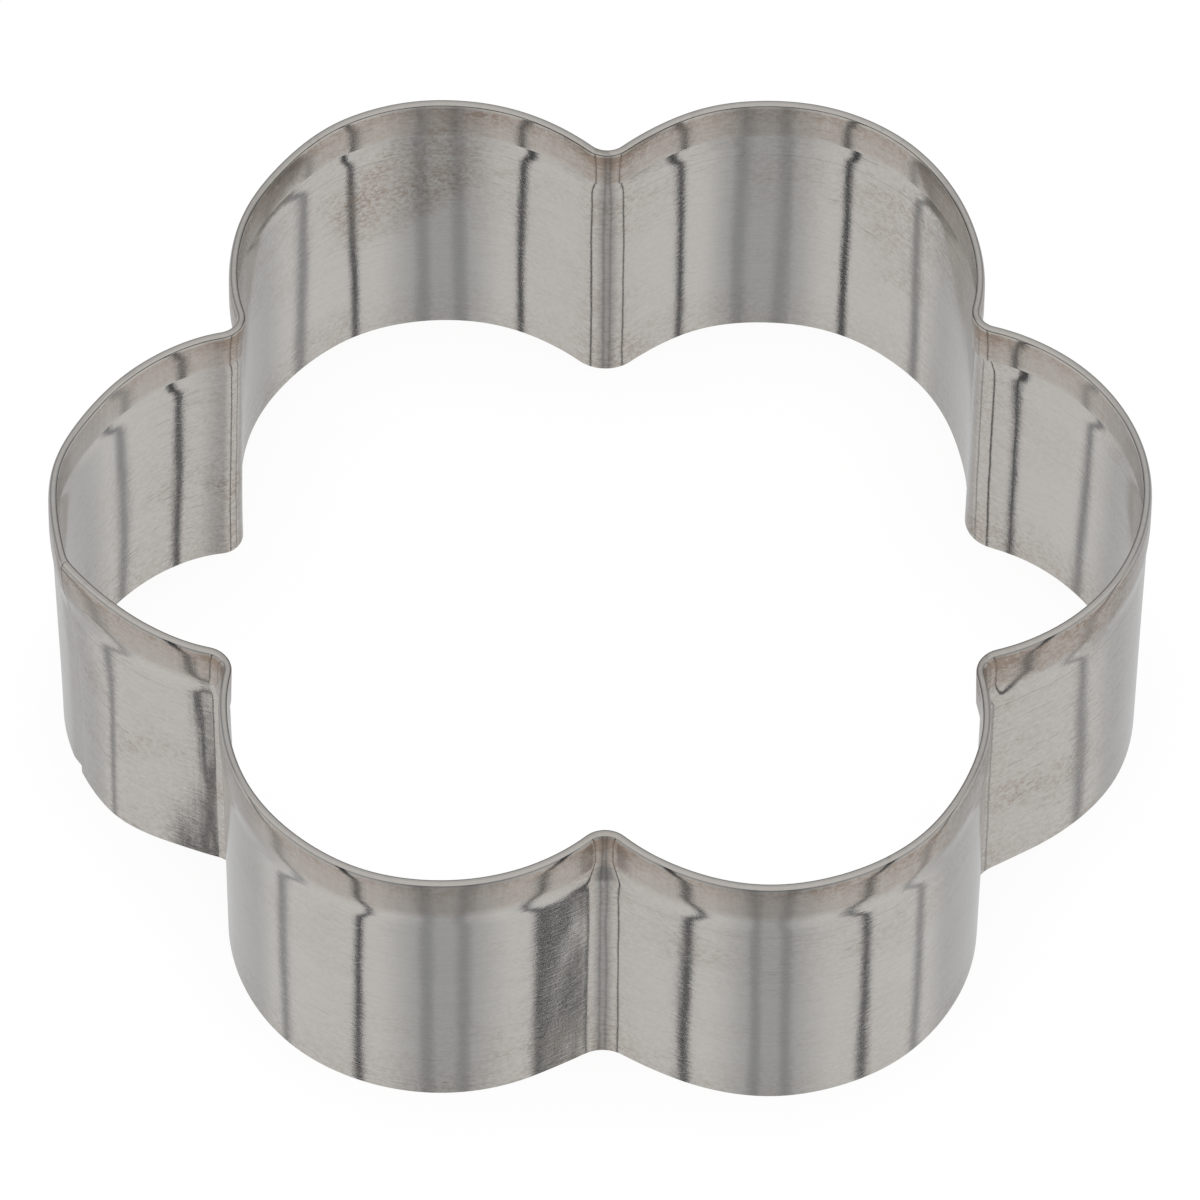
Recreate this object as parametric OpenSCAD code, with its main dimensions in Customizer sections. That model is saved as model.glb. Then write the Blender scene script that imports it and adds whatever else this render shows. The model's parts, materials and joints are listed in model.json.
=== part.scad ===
// Flower cookie cutter: one strip of tinned sheet steel, bent round into six petals.
// The upper edge is folded inward into a safe hem, the lower edge is left raw and cuts.
// The strip's two ends lap at the tip of one petal and are held by spot welds.
// The cutter stands on its cutting edge at z = 0, with the middle of its box on the z axis.

/* [Flower] */
// Depth of the cutter, from the cutting edge to the top of the hem
cutter_h = 25.4; // [16:0.1:60]
// From the middle of the flower to the middle of a petal's arc
petal_reach = 23.5; // [20:0.1:27]
// Radius of a petal, at the middle of the sheet
petal_r = 15.25; // [13.5:0.05:18]
// Radius of the bend between two petals, at the middle of the sheet
valley_r = 2.2; // [1.2:0.1:4]

/* [Seam petal] */
// How much further out the petal with the lapped ends stands
seam_pull = 1.6; // [0:0.1:3]
// How much smaller its radius is than the other petals' radius
seam_tighter = 0.9; // [0:0.05:2]
// How far it is turned round towards the front, in degrees
seam_petal_turn = 1.7; // [-4:0.1:4]
// Radius of the bends at both sides of this petal
seam_valley_r = 1.7; // [1.2:0.1:4]

/* [Sheet and hem] */
// Thickness of the sheet
sheet_t = 0.28; // [0.2:0.01:0.4]
// Space left inside the folded hem
hem_gap = 0.08; // [0.06:0.01:0.3]
// Height of the flat band of the hem, seen from outside
band_h = 3.3; // [1.5:0.1:6]
// Height of the sloping step under the band
step_h = 1.65; // [1.3:0.05:4]
// How far the band stands out from the wall
step_out = 0.45; // [0.1:0.05:0.6]
// How far the folded lip reaches below the band, on the inside
lip_below = 0.2; // [0:0.02:0.22]

/* [Lap and welds] */
// From the seam petal's tip to the outer end of the strip, along the sheet towards the front
lap_at = 6; // [0:0.1:8.7]
// Length of the inner end's tongue under the outer end
lap_l = 6; // [4.5:0.1:9]
// Space between the two layers of the lap
lap_gap = 0.03; // [0.02:0.01:0.1]
// Space between the two ends of the hem
butt_gap = 0.12; // [0.05:0.01:0.5]
// Length over which the tongue sets inward
tongue_root_l = 1.5; // [0.8:0.1:3]
// How far the tongue stays below the sloping step
tongue_below = 0.8; // [0.2:0.1:3]
// Height of the slit between the tongue and the hem
tongue_slit_h = 0.3; // [0.1:0.05:1]
// Diameter of a spot weld
weld_d = 2.4; // [1.5:0.1:3.2]
// Number of spot welds up the lap
weld_count = 3; // [1:1:4]
// How deep the electrode pressed each weld's inner face
weld_dimple = 0.04; // [0.01:0.01:0.1]
// How deep a weld reaches into the outer layer, whose outer face it leaves unmarked
weld_bite = 0.16; // [0.08:0.01:0.18]

/* [Hidden] */

// Round stretches are drawn with this many sides to the full circle
bend_sides = 180;
fold_sides = 48;

// Extra length of a cutting tool past the surface that it cuts
overrun = sheet_t;
// A tight bend is a hair fuller than the sheet beside it, and runs a little way into it
bend_full = sheet_t / 50;
bend_run = sheet_t / 5;
// The tongue's sloping root is a little thinner, and both its ends lie inside the sheet
root_thin = sheet_t / 10;
root_run = 2 * sheet_t;

// Petal 0 points along +X, and the seam petal lies opposite
PETALS = 6;
SEAM = PETALS / 2;

// Heights of the profile
band_z = cutter_h - band_h;
crease_z = band_z - step_h;
lip_z = band_z - lip_below;
fold_r = sheet_t + hem_gap / 2;
fold_z = cutter_h - fold_r;
fold_out = step_out - sheet_t / 2 - hem_gap / 2;
tongue_zone_h = crease_z - tongue_below;
tongue_h = tongue_zone_h - tongue_slit_h;

// The seam petal
seam_reach = petal_reach + seam_pull;
seam_r = petal_r - seam_tighter;
tongue_r = seam_r - sheet_t - lap_gap;

// The seam petal stands out further to the left, so the flower's middle lies to the right
left_reach = seam_reach * cos(seam_petal_turn) + seam_r;
right_reach = petal_reach + petal_r;
flower_c = [(left_reach - right_reach) / 2, 0];

TIN = [0.68, 0.67, 0.65];
WELD_GREY = [0.50, 0.49, 0.48];

// The six petals lie evenly round the flower, save the seam petal's small turn
function next_petal(k) = (k + 1) % PETALS;
function last_petal(k) = (k + PETALS - 1) % PETALS;
function petal_turn(k) = k * 360 / PETALS + (k == SEAM ? seam_petal_turn : 0);
function petal_out(k) = k == SEAM ? seam_reach : petal_reach;
function petal_radius(k) = k == SEAM ? seam_r : petal_r;
function petal_c(k) = flower_c + petal_out(k) * [cos(petal_turn(k)), sin(petal_turn(k))];

// Valley k lies between petal k and the next one, and its arc touches both of theirs
function beside_seam(k) = k == SEAM || next_petal(k) == SEAM;
function valley_radius(k) = beside_seam(k) ? seam_valley_r : valley_r;
function valley_c(k) =
    let (
        here = petal_c(k),
        along = petal_c(next_petal(k)) - here,
        span = norm(along),
        near = petal_radius(k) + valley_radius(k),
        far = petal_radius(next_petal(k)) + valley_radius(k),
        foot = (near * near - far * far + span * span) / (2 * span),
        rise = sqrt(near * near - foot * foot)
    )
    here + along / span * foot + [along[1], -along[0]] / span * rise;

function heading(from, to) = atan2(to[1] - from[1], to[0] - from[0]);
function turn_from(first, last) = (last - first + 720) % 360;
function arc_angle(length, radius) = length / radius * 180 / PI;

// Where petal k's arc starts and how far it goes, anticlockwise seen from above
function petal_start(k) = heading(petal_c(k), valley_c(last_petal(k)));
function petal_sweep(k) = turn_from(petal_start(k), heading(petal_c(k), valley_c(k)));

// Angles on the seam petal, seen from the middle of its arc
lap_a = 180 + seam_petal_turn + arc_angle(lap_at, seam_r);
half_butt_a = arc_angle(butt_gap / 2, seam_r);
root_start_a = lap_a - arc_angle(tongue_root_l, seam_r);
tongue_end_a = lap_a + arc_angle(lap_l, tongue_r);
weld_a = (lap_a + tongue_end_a) / 2;

function weld_z(i) = tongue_h * (i + 1) / (weld_count + 1);
weld_in_r = tongue_r - sheet_t / 2 + weld_dimple;
weld_out_r = seam_r - sheet_t / 2 + weld_bite;

// Section of the wall between two heights, with the middle of the sheet at x = 0
module wall_section(low, high, full = 0) {
    half = sheet_t / 2 + full;
    translate([-half, low]) square([2 * half, high - low]);
}

// Section of the sloping step and the hem, which is folded inward over its lip
module hem_section(full = 0) {
    half = sheet_t / 2 + full;
    outer_r = fold_r + full;
    polygon([
        [-half, crease_z],
        [half, crease_z],
        [step_out + half, band_z],
        [step_out - half, band_z]
    ]);
    translate([step_out - half, band_z]) square([2 * half, fold_z - band_z]);
    translate([fold_out - outer_r, lip_z - full]) square([2 * half, fold_z - lip_z + full]);
    translate([fold_out, fold_z]) difference() {
        circle(outer_r, $fn = fold_sides);
        circle(hem_gap / 2 - full, $fn = fold_sides);
        translate([-2 * outer_r, -2 * outer_r]) square([4 * outer_r, 2 * outer_r]);
    }
}

module strip_section(full = 0) {
    wall_section(0, crease_z, full);
    hem_section(full);
}

// A section swept round a petal's middle
module petal_arc(k, start, sweep) {
    translate(petal_c(k)) rotate([0, 0, start])
        rotate_extrude(angle = sweep, $fn = bend_sides)
            translate([petal_radius(k), 0]) children();
}

// The section swept round a valley's middle, which lies outside the flower
module valley_arc(k) {
    run = arc_angle(bend_run, valley_radius(k));
    start = heading(valley_c(k), petal_c(next_petal(k)));
    sweep = turn_from(start, heading(valley_c(k), petal_c(k)));
    translate(valley_c(k)) rotate([0, 0, start - run])
        rotate_extrude(angle = sweep + 2 * run, $fn = bend_sides)
            translate([valley_radius(k), 0]) mirror([1, 0]) strip_section(bend_full);
}

// The strip's inner end: the hem stops at the seam, and the wall goes on as a tongue
module inner_end() {
    start = petal_start(SEAM);
    petal_arc(SEAM, start, turn_from(start, root_start_a))
        wall_section(0, tongue_zone_h);
    petal_arc(SEAM, start, turn_from(start, lap_a - half_butt_a)) {
        wall_section(tongue_zone_h, crease_z);
        hem_section();
    }
    translate(petal_c(SEAM)) {
        linear_extrude(tongue_h) tongue_root();
        rotate([0, 0, lap_a])
            rotate_extrude(angle = turn_from(lap_a, tongue_end_a), $fn = bend_sides)
                translate([tongue_r, 0]) wall_section(0, tongue_h);
    }
}

// Plan of the short slope by which the tongue sets inward, with its ends inside the sheet
module tongue_root() {
    half = sheet_t / 2 - root_thin;
    run = arc_angle(root_run, seam_r);
    from = root_start_a - run;
    to = lap_a + run;
    polygon([
        (seam_r + half) * [cos(from), sin(from)],
        (tongue_r + half) * [cos(to), sin(to)],
        (tongue_r - half) * [cos(to), sin(to)],
        (seam_r - half) * [cos(from), sin(from)]
    ]);
}

// The strip's outer end, which covers the tongue
module outer_end() {
    start = lap_a + half_butt_a;
    petal_end = petal_start(SEAM) + petal_sweep(SEAM);
    petal_arc(SEAM, start, turn_from(start, petal_end)) strip_section();
}

// A round bar at each weld, through the tongue and into the outer layer
module weld_bars(in_r, out_r) {
    translate(petal_c(SEAM)) rotate([0, 0, weld_a])
        for (i = [0 : weld_count - 1])
            translate([in_r, 0, weld_z(i)]) rotate([0, 90, 0])
                cylinder(h = out_r - in_r, d = weld_d, $fn = fold_sides);
}

module cutter_band() {
    color(TIN) difference() {
        union() {
            for (k = [0 : PETALS - 1]) {
                if (k != SEAM) petal_arc(k, petal_start(k), petal_sweep(k)) strip_section();
                valley_arc(k);
            }
            inner_end();
            outer_end();
        }
        weld_bars(tongue_r - sheet_t / 2 - overrun, weld_out_r);
    }
}

module spot_welds() {
    color(WELD_GREY) weld_bars(weld_in_r, weld_out_r);
}

cutter_band();
spot_welds();
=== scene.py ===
# %% [markdown]
# A flower-shaped cookie cutter of tinned sheet steel.
#
# The real cutter is one long strip, bent round into six petals. Its upper edge is folded
# inward over itself, which makes a blunt rim that is safe to press on. Its lower edge is
# left raw and cuts. The strip's two ends lap at one petal and are held by spot welds.
# This lesson bends the same strip in Blender and then gives it the finish of worn tin.

# %% Load the measured model
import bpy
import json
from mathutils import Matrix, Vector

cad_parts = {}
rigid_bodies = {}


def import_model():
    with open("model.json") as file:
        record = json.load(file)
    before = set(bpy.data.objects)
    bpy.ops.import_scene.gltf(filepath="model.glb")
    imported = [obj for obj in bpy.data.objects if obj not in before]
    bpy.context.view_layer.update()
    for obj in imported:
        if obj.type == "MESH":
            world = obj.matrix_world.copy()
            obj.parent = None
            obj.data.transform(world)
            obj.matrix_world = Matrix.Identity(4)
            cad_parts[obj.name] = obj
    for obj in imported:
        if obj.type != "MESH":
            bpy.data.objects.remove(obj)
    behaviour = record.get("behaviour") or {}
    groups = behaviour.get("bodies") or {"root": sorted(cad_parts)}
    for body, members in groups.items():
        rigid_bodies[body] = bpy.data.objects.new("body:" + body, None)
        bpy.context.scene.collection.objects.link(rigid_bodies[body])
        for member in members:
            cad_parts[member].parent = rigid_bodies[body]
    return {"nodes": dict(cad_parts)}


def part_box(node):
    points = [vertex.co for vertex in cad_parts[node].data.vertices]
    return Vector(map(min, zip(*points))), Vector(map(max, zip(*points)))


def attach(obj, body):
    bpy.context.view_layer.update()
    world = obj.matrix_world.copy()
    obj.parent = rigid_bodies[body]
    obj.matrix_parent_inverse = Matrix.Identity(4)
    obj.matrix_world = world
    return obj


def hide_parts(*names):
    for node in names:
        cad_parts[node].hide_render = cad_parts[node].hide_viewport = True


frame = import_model()
print("the measured model has", len(frame["nodes"]), "nodes")

# %% Keep its sizes
import json
import math

import bmesh
import bpy
from mathutils import Vector

MM = 0.001
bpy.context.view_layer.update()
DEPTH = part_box("cutter_band")[1].z / MM
print("the cutter is", round(DEPTH, 2), "mm deep")

# %% [markdown]
# The camera.
#
# The photograph was taken from above the front with a very long lens, so that the petals
# hardly shrink towards the back. A camera could be pointed with a Track To constraint, but
# that can't roll it. Here it is placed from three given things: the point that it aims at,
# the direction that it looks in and its distance. Its columns are then the picture's right,
# the picture's up and the way back to the eye.

# %% Place the camera
# The point aimed at, the distance and the lens are in millimetres
AIM = Vector((0.04, 5.78, 4.47))
AZIMUTH = math.radians(0.433)
ELEVATION = math.radians(52.246)
ROLL = math.radians(0.751)
DISTANCE = 1229.25
LENS = 502.94

ahead = Vector((math.sin(AZIMUTH) * math.cos(ELEVATION),
                math.cos(AZIMUTH) * math.cos(ELEVATION),
                -math.sin(ELEVATION)))
level = Vector((math.cos(AZIMUTH), -math.sin(AZIMUTH), 0))
upward = level.cross(ahead)
right = math.cos(ROLL) * level + math.sin(ROLL) * upward
top = math.cos(ROLL) * upward - math.sin(ROLL) * level

camera = bpy.data.objects.new("camera", bpy.data.cameras.new("camera"))
bpy.context.scene.collection.objects.link(camera)
camera.data.lens = LENS
camera.matrix_world.col[0].xyz = right
camera.matrix_world.col[1].xyz = top
camera.matrix_world.col[2].xyz = -ahead
camera.matrix_world.col[3].xyz = (AIM - DISTANCE * ahead) * MM
bpy.context.scene.camera = camera
print("the camera stands", round(DISTANCE), "mm away")

# %% [markdown]
# The path of the strip.
#
# Seen from above, the strip is a chain of arcs: wide ones round the petals, and tight ones
# the other way in the valleys between them. It could be drawn as a curve by eye, but real
# cutters are bent round pegs, so arcs that touch each other are truer. The petal with the
# seam stands a little further out and is a little tighter.
#
# The hem stands outside the wall, and in the valleys it was pressed tighter than the wall
# below it, so the two have paths of their own.

# %% Name the flower's sizes
PETALS = 6
SEAM = PETALS // 2
FLOWER_X = 0.3445
REACH = 23.5
SEAM_REACH = 25.09
SEAM_TURN = math.radians(1.7)
BAND_OUT = 0.45
WALL = {"petal": 15.26, "seam": 14.36, "valley": 2.72, "seam valley": 1.75}
HEM = {"petal": WALL["petal"] + BAND_OUT, "seam": WALL["seam"] + BAND_OUT,
       "valley": 1.53, "seam valley": 1.49}
print("the flower has", PETALS, "petals, and petal", SEAM, "carries the seam")

# %% [markdown]
# Flatter flanks.
#
# Some petals of the real cutter run almost straight into a valley, where the strip sprang
# back from its peg. There a circle of a larger radius takes over from the petal's own, from
# an angle on. It touches the petal's circle there, so its centre lies further back along
# the same line. A valley's centre follows from the circles beside it, at one sum of radii
# from each.

# %% Find the circles of the petals, flanks and valleys
FLANK_AT = 50
FLANKS = {
    # (petal, side): (degrees from the petal's middle where the flank starts, its radius)
    (4, "end"): (56.8, 70),
    (5, "start"): (54, 30),
    (0, "start"): (60, 300),
    (0, "end"): (65, 30),
}


def petal_turn(k):
    return k * math.tau / PETALS + (SEAM_TURN if k == SEAM else 0)


def petal_centre(k):
    reach = SEAM_REACH if k == SEAM else REACH
    turn = petal_turn(k)
    return Vector((FLOWER_X + reach * math.cos(turn), reach * math.sin(turn)))


def petal_radius(k, radii):
    return radii["seam"] if k == SEAM else radii["petal"]


def flank(k, side, radii):
    """Return the circle of a petal's flank, and the angle where it meets the petal's own."""
    own = petal_radius(k, radii)
    off, radius = FLANKS.get((k, side), (FLANK_AT, own))
    if radii is HEM:
        radius = own
    angle = petal_turn(k) + math.radians(off if side == "end" else -off)
    towards = Vector((math.cos(angle), math.sin(angle)))
    return petal_centre(k) + (own - radius) * towards, radius, angle


def valley(k, radii):
    """Return the centre and radius of the bend between petal k and the next one."""
    after = (k + 1) % PETALS
    radius = radii["seam valley"] if SEAM in (k, after) else radii["valley"]
    here, here_radius, _ = flank(k, "end", radii)
    there, there_radius, _ = flank(after, "start", radii)
    across = there - here
    near = here_radius + radius
    far = there_radius + radius
    foot = (near ** 2 - far ** 2 + across.length_squared) / (2 * across.length)
    rise = math.sqrt(near ** 2 - foot ** 2)
    across.normalize()
    return here + across * foot + Vector((across.y, -across.x)) * rise, radius


seam_centre = petal_centre(SEAM)
print("the seam petal's arc is centred", round(-seam_centre.x, 2), "mm to the left")

# %% [markdown]
# The chain of arcs.
#
# The strip starts at the seam, goes round the flower anticlockwise and ends at the seam
# again. Each arc gets a number of steps of its own. The wall and the hem have the same
# numbers, so that their edges can be joined point by point later.

# %% Chain the arcs from the seam round to the seam
LAP_AT = 6
END_GAP = 0.03
ROOT = 1.5
FLANK_STEPS = 14
MIDDLE_STEPS = 48
VALLEY_STEPS = 12
SEAM_FRONT_STEPS = 24
SEAM_BACK_STEPS = 44
ROOT_STEPS = 5

lap_angle = math.pi + SEAM_TURN + LAP_AT / WALL["seam"]
half_gap = END_GAP / 2 / WALL["seam"]
start_angle = lap_angle + half_gap
end_angle = lap_angle - half_gap
root_angle = lap_angle - ROOT / WALL["seam"]


def heading(start, end):
    """Return the direction from one point to another, as an angle."""
    return math.atan2(end.y - start.y, end.x - start.x)


def arcs(radii):
    """Return the path's arcs, each as (centre, radius, first angle, turn, steps)."""
    path = []
    first = start_angle
    for hop in range(PETALS):
        k = (SEAM + hop) % PETALS
        bend, bend_radius = valley(k, radii)
        own = petal_centre(k)
        radius = petal_radius(k, radii)
        end_centre, end_radius, flank_angle = flank(k, "end", radii)
        if k == SEAM:
            turn = (heading(own, bend) - first) % math.tau
            path.append((own, radius, first, turn, SEAM_FRONT_STEPS))
        else:
            centre, start_radius, angle = flank(k, "start", radii)
            path.append((centre, start_radius, first, (angle - first) % math.tau, FLANK_STEPS))
            path.append((own, radius, angle, flank_angle - angle, MIDDLE_STEPS))
            turn = (heading(end_centre, bend) - flank_angle) % math.tau
            path.append((end_centre, end_radius, flank_angle, turn, FLANK_STEPS))
        after = flank((k + 1) % PETALS, "start", radii)[0]
        start = heading(bend, end_centre)
        back = (start - heading(bend, after)) % math.tau
        path.append((bend, bend_radius, start, -back, VALLEY_STEPS))
        first = heading(after, bend)
    radius = radii["seam"]
    path.append((seam_centre, radius, first, (root_angle - first) % math.tau, SEAM_BACK_STEPS))
    path.append((seam_centre, radius, root_angle, end_angle - root_angle, ROOT_STEPS))
    return path


wall_path = arcs(WALL)
length = sum(abs(turn) * radius for _, radius, _, turn, _ in wall_path)
print("the strip is", round(length, 1), "mm long between its ends")

# %% [markdown]
# Working by hand in code.
#
# An operator acts on whatever is selected, as in the window. These helpers select one
# object, pick vertices by their place, move them, and extrude a selected point.

# %% Helpers for selecting, moving and extruding


def only(obj):
    """Select this object alone and make it the active one."""
    bpy.ops.object.select_all(action="DESELECT")
    obj.select_set(True)
    bpy.context.view_layer.objects.active = obj


def pick(obj, test):
    """In edit mode, select just the vertices whose place in millimetres passes the test."""
    mesh = bmesh.from_edit_mesh(obj.data)
    for vertex in mesh.verts:
        vertex.select = bool(test(vertex.co / MM))
    mesh.select_flush_mode()
    bmesh.update_edit_mesh(obj.data, destructive=False)
    return sum(vertex.select for vertex in mesh.verts)


def slide(step):
    bpy.ops.transform.translate(value=Vector(step) * MM)


def climb(heights, outward, lean=0.0):
    """Extrude the selected point through these heights, leaning outward by a slope."""
    for start, end in zip(heights, heights[1:]):
        rise = end - start
        step = outward * lean * abs(rise) + Vector((0, 0, rise))
        bpy.ops.mesh.extrude_region_move(TRANSFORM_OT_translate={"value": step * MM})


def even(start, end, count):
    return [start + (end - start) * i / count for i in range(count + 1)]


print("four steps up a 2 mm wall are", even(0, 2, 4))

# %% [markdown]
# The strip's section.
#
# Across its width the strip is a plain wall, then a sloping step outward, a flat band, and
# a fold that brings its upper edge back down inside the band. A section is easily made by
# hand: merge a plane to one point, and extrude and spin that point along the profile. Only
# the middle of the sheet is drawn, because Solidify adds the thickness at the end. The real
# wall flares outward a little towards the band, which takes up part of the step.

# %% Draw the wall's section by extruding one point
SHEET = 0.28
FLARE = 0.27
CREASE_Z = 20.45
BAND_Z = 22.1
LIP_Z = 21.75
TONGUE_Z = 19.35
SLIT_Z = 19.42
WALL_RISES = 15

bpy.ops.object.select_all(action="DESELECT")
bpy.ops.mesh.primitive_plane_add(size=MM, location=(0, 0, 0))
strip = bpy.context.object
strip.name = "tin_strip"
strip.data.name = "tin_strip"
bpy.ops.object.mode_set(mode="EDIT")
bpy.ops.mesh.select_all(action="SELECT")
bpy.ops.mesh.merge(type="CENTER")

out = Vector((math.cos(start_angle), math.sin(start_angle), 0))
along = Vector((-out.y, out.x, 0))
wall_heights = even(0, TONGUE_Z, WALL_RISES) + [SLIT_Z, CREASE_Z]
slide(seam_centre.to_3d() + out * WALL["seam"])
climb(wall_heights, out, FLARE / CREASE_Z)
bpy.ops.mesh.select_all(action="SELECT")
print("the wall's section has", len(wall_heights), "points")

# %% [markdown]
# Sweeping the section round the flower.
#
# The selected section is spun about each arc's centre in turn. After a spin only the new
# end is selected, so the next spin carries straight on from there, as the strip does in
# the bending tool. With no window, spin turns the other way round, so its angle gets a
# minus sign.

# %% Spin the wall round the flower


def sweep(path):
    """Spin the selected section along a chain of arcs."""
    for centre, _, _, turn, steps in path:
        bpy.ops.mesh.spin(steps=steps, angle=-turn, center=centre.to_3d() * MM, axis=(0, 0, 1))


sweep(wall_path)
print("the wall has", len(bmesh.from_edit_mesh(strip.data).faces), "faces")

# %% [markdown]
# The band and the fold.
#
# The hem starts from a new point above the wall. It climbs up the band, leans inward near
# the top as the rolls left it, turns over in a tight fold and comes down again as the lip,
# which stands a sheet's width inside the band. Then it is swept round in its turn.

# %% Draw the hem's section and spin it too
LEAN = math.radians(16)
LEAN_RADIUS = 2.2
FOLD_RADIUS = 0.145
LIP_SLOPE = 0.02
LEAN_STEPS = 5
FOLD_STEPS = 10
HEM_RISES = 3
fold_in = LEAN_RADIUS * (1 - math.cos(LEAN)) + FOLD_RADIUS * math.cos(LEAN)
fold_z = DEPTH - SHEET / 2 - FOLD_RADIUS
lean_z = fold_z - LEAN_RADIUS * math.sin(LEAN) + FOLD_RADIUS * math.sin(LEAN)

bpy.ops.mesh.select_all(action="DESELECT")
bpy.ops.mesh.primitive_plane_add(size=MM, location=(0, 0, 0))
bpy.ops.mesh.merge(type="CENTER")
band_place = seam_centre.to_3d() + out * HEM["seam"]
slide(band_place + Vector((0, 0, BAND_Z)))
climb(even(BAND_Z, lean_z, HEM_RISES), out)
lean_centre = band_place - out * LEAN_RADIUS + Vector((0, 0, lean_z))
bpy.ops.mesh.spin(steps=LEAN_STEPS, angle=LEAN, center=lean_centre * MM, axis=along)
fold_centre = band_place - out * fold_in + Vector((0, 0, fold_z))
bpy.ops.mesh.spin(steps=FOLD_STEPS, angle=math.pi - LEAN, center=fold_centre * MM, axis=along)
climb(even(fold_z, LIP_Z, HEM_RISES), out, LIP_SLOPE)
bpy.ops.mesh.select_linked()
sweep(arcs(HEM))
tips = [v.co.z / MM for v in bmesh.from_edit_mesh(strip.data).verts]
print("the middle of the fold's sheet is at", round(max(tips), 3), "mm")

# %% [markdown]
# The sloping step.
#
# Bridge Edge Loops joins the wall's top edge to the band's lower edge. The two creases that
# this leaves are too sharp for a press tool, so a small bevel rounds them.

# %% Bridge the step and soften its creases
NEAR = 0.001
CREASE_SOFT = 0.35

pick(strip, lambda p: abs(p.z - CREASE_Z) < NEAR or abs(p.z - BAND_Z) < NEAR)
bpy.ops.mesh.bridge_edge_loops(number_cuts=1, interpolation="LINEAR")
for crease in (CREASE_Z, BAND_Z):
    pick(strip, lambda p: abs(p.z - crease) < NEAR)
    bpy.ops.mesh.bevel(offset=CREASE_SOFT * MM, segments=3, affect="EDGES")
print("the strip has", len(bmesh.from_edit_mesh(strip.data).faces), "faces")

# %% [markdown]
# The slit at the seam.
#
# At the seam the strip's inner end sets inward by a little more than one sheet and goes on
# as a tongue behind the outer end. A short slit frees the tongue from the hem above it,
# whose two ends only meet. It could be cut by a Boolean, but a row of narrow faces is
# already there between two heights of the wall, and deleting the last few of them opens it.

# %% Open the slit above the tongue
LAP_GAP = 0.03
WALL_BESIDE = 1.0

inward = SHEET + LAP_GAP


def seam_angle(p):
    """Return a place's angle about the seam petal's centre, from the tongue's root on."""
    return (math.atan2(p.y - seam_centre.y, p.x - seam_centre.x) - root_angle) % math.tau


def in_root(p, part):
    """Tell whether a place is on the inner end, past this share of the root."""
    whole = end_angle - root_angle
    on_wall = abs((p.xy - seam_centre).length - WALL["seam"]) < WALL_BESIDE
    return on_wall and part * whole - NEAR < seam_angle(p) < whole + half_gap


bpy.ops.mesh.select_mode(type="FACE")
bpy.ops.mesh.select_all(action="DESELECT")
mesh = bmesh.from_edit_mesh(strip.data)
for face in mesh.faces:
    middle = face.calc_center_median() / MM
    face.select = TONGUE_Z < middle.z < SLIT_Z and in_root(middle, 0)
bmesh.update_edit_mesh(strip.data)
slit_faces = sum(face.select for face in mesh.faces)
bpy.ops.mesh.delete(type="ONLY_FACE")
bpy.ops.mesh.select_mode(type="VERT")
print("the slit took", slit_faces, "faces")

# %% [markdown]
# The tongue.
#
# The last few columns of the wall are slid inward step by step, which makes the sloping
# root. The end column is then still selected, and the tongue is spun on from it.

# %% Set the tongue inward and spin it behind the outer end
TONGUE = 6
TONGUE_STEPS = 24

for step in range(ROOT_STEPS):
    share = (step + 1) / ROOT_STEPS
    column_angle = root_angle + (end_angle - root_angle) * share
    count = pick(strip, lambda p: p.z < TONGUE_Z + NEAR and in_root(p, share))
    slide(-inward / ROOT_STEPS * Vector((math.cos(column_angle), math.sin(column_angle), 0)))
bpy.ops.mesh.spin(steps=TONGUE_STEPS, angle=-(TONGUE / WALL["seam"] + half_gap),
                  center=seam_centre.to_3d() * MM, axis=(0, 0, 1))
bpy.ops.object.mode_set(mode="OBJECT")
print("the tongue's end has", count, "points")

# %% [markdown]
# A map along the strip.
#
# Rolling lines, scratches and tarnish follow the sheet round its bends, so they need a flat
# map of the strip. An unwrap would give one, but the arcs are known: a place's distance along
# its arc, added to the arcs before it, is its place along the strip. The map is in
# millimetres, along the strip and up it, so that a pattern can be given its real size.

# %% Map the strip by its length and height


def along_strip(p):
    """Return how far along the strip a place is, in millimetres."""
    best, place, run = None, 0, 0
    for centre, radius, first, turn, _ in wall_path:
        offset = p.xy - centre
        swept = (math.atan2(offset.y, offset.x) - first) * math.copysign(1, turn) % math.tau
        past = min(max(0, swept - abs(turn)), math.tau - swept)
        error = abs(offset.length - radius) + past * radius
        if best is None or error < best:
            best, place = error, run + min(swept, abs(turn)) * radius
        run += abs(turn) * radius
    return place


strip_map = strip.data.uv_layers.new(name="strip")
places = [(along_strip(v.co / MM), v.co.z / MM) for v in strip.data.vertices]
for loop in strip.data.loops:
    strip_map.data[loop.index].uv = places[loop.vertex_index]
print("the map runs to", round(max(u for u, _ in places), 1), "mm")

# %% [markdown]
# The valleys.
#
# In a valley the sheet was bent hard, so it is more uneven there, and the tin is painted
# darker there as painted shade. A vertex group could mark the place, but a plain attribute
# is enough for a material: it is 1 in the middle of each valley and fades to nothing a few
# millimetres away.

# %% Mark how near each point is to a valley
BEND_SPREAD = 2.4

run = 0
bend_places = []
for _, radius, _, turn, _ in wall_path:
    if turn < 0:
        bend_places.append(run + abs(turn) * radius / 2)
    run += abs(turn) * radius
bends = strip.data.attributes.new("bend", "FLOAT", "POINT")
for vertex, (u, _) in zip(strip.data.vertices, places):
    away = min(abs(u - bend_place) for bend_place in bend_places)
    bends.data[vertex.index].value = math.exp(-(away / BEND_SPREAD) ** 2)
print("the valleys are at", [round(u) for u in bend_places], "mm along the strip")

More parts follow.
